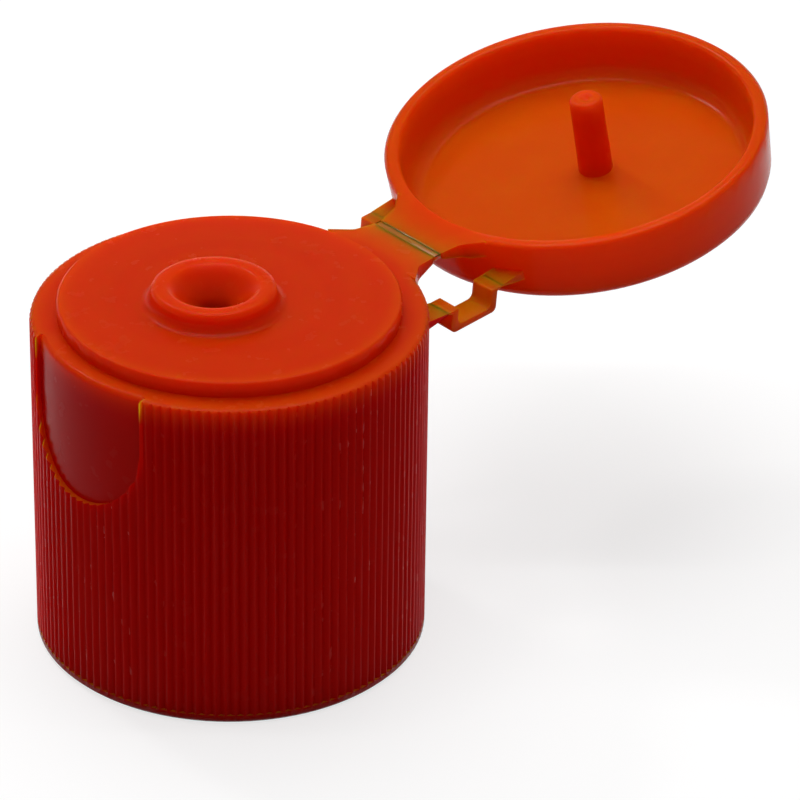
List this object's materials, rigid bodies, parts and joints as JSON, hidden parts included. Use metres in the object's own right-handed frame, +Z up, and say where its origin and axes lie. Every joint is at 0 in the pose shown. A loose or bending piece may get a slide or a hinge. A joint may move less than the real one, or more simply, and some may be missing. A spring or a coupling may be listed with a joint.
{
  "type": "flip top cap",
  "caption": "Ribbed screw cap for a bottle neck, with a dish-shaped flip lid on a living hinge, spring straps at its sides, a pouring spout and a sealing pin.",
  "frame": {"origin": "centre of the skirt's bottom rim, on the skirt's axis", "axes": "+Z up along the skirt's axis, +X toward the hinge and the open lid, -X toward the thumb recess, +Y across the hinge"},
  "size_m": [0.0525, 0.0242, 0.0271],
  "materials": {
    "orange_polypropylene": "semi-gloss, slightly translucent"
  },
  "bodies": {
    "cap": {"cap_base": "orange_polypropylene"},
    "lid": {"flip_lid": "orange_polypropylene", "hinge_film": "orange_polypropylene", "left_strap": "orange_polypropylene", "right_strap": "orange_polypropylene"}
  },
  "joints": [
    {"name": "lid_hinge", "type": "hinge", "parent": "cap", "child": "lid", "pos_m": [0.01415, 0, 0.02177], "axis": [0, 1, 0], "range_deg": [-168.25, 0], "deforming": ["hinge_film", "left_strap", "right_strap"]}
  ]
}
